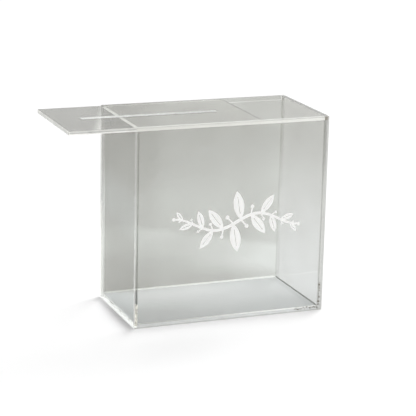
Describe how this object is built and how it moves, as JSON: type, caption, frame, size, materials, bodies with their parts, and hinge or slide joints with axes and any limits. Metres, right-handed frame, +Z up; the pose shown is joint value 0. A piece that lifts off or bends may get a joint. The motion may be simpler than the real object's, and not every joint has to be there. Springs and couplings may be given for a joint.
{
  "type": "card box",
  "caption": "Clear acrylic card box with cemented walls and a slotted lid that slides out over one end; white vinyl flourish on the front.",
  "frame": {"origin": "centre of the box's underside", "axes": "+X to the right seen from the front, towards the end that stops the lid; +Y from the front to the back; +Z up"},
  "size_m": [0.338, 0.1402, 0.254],
  "materials": {
    "clear_acrylic": "polished, clear",
    "lid_acrylic": "polished, clear",
    "white_vinyl": "satin film"
  },
  "bodies": {
    "box": {"base_panel": "clear_acrylic", "front_panel": "clear_acrylic", "back_panel": "clear_acrylic", "left_end_panel": "clear_acrylic", "right_end_panel": "clear_acrylic", "vinyl_flourish": "white_vinyl"},
    "lid": {"sliding_lid": "lid_acrylic"}
  },
  "joints": [
    {"name": "lid_slide", "type": "slide", "parent": "box", "child": "lid", "axis": [-1, 0, 0], "range_m": [-0.084, 0.17]}
  ]
}
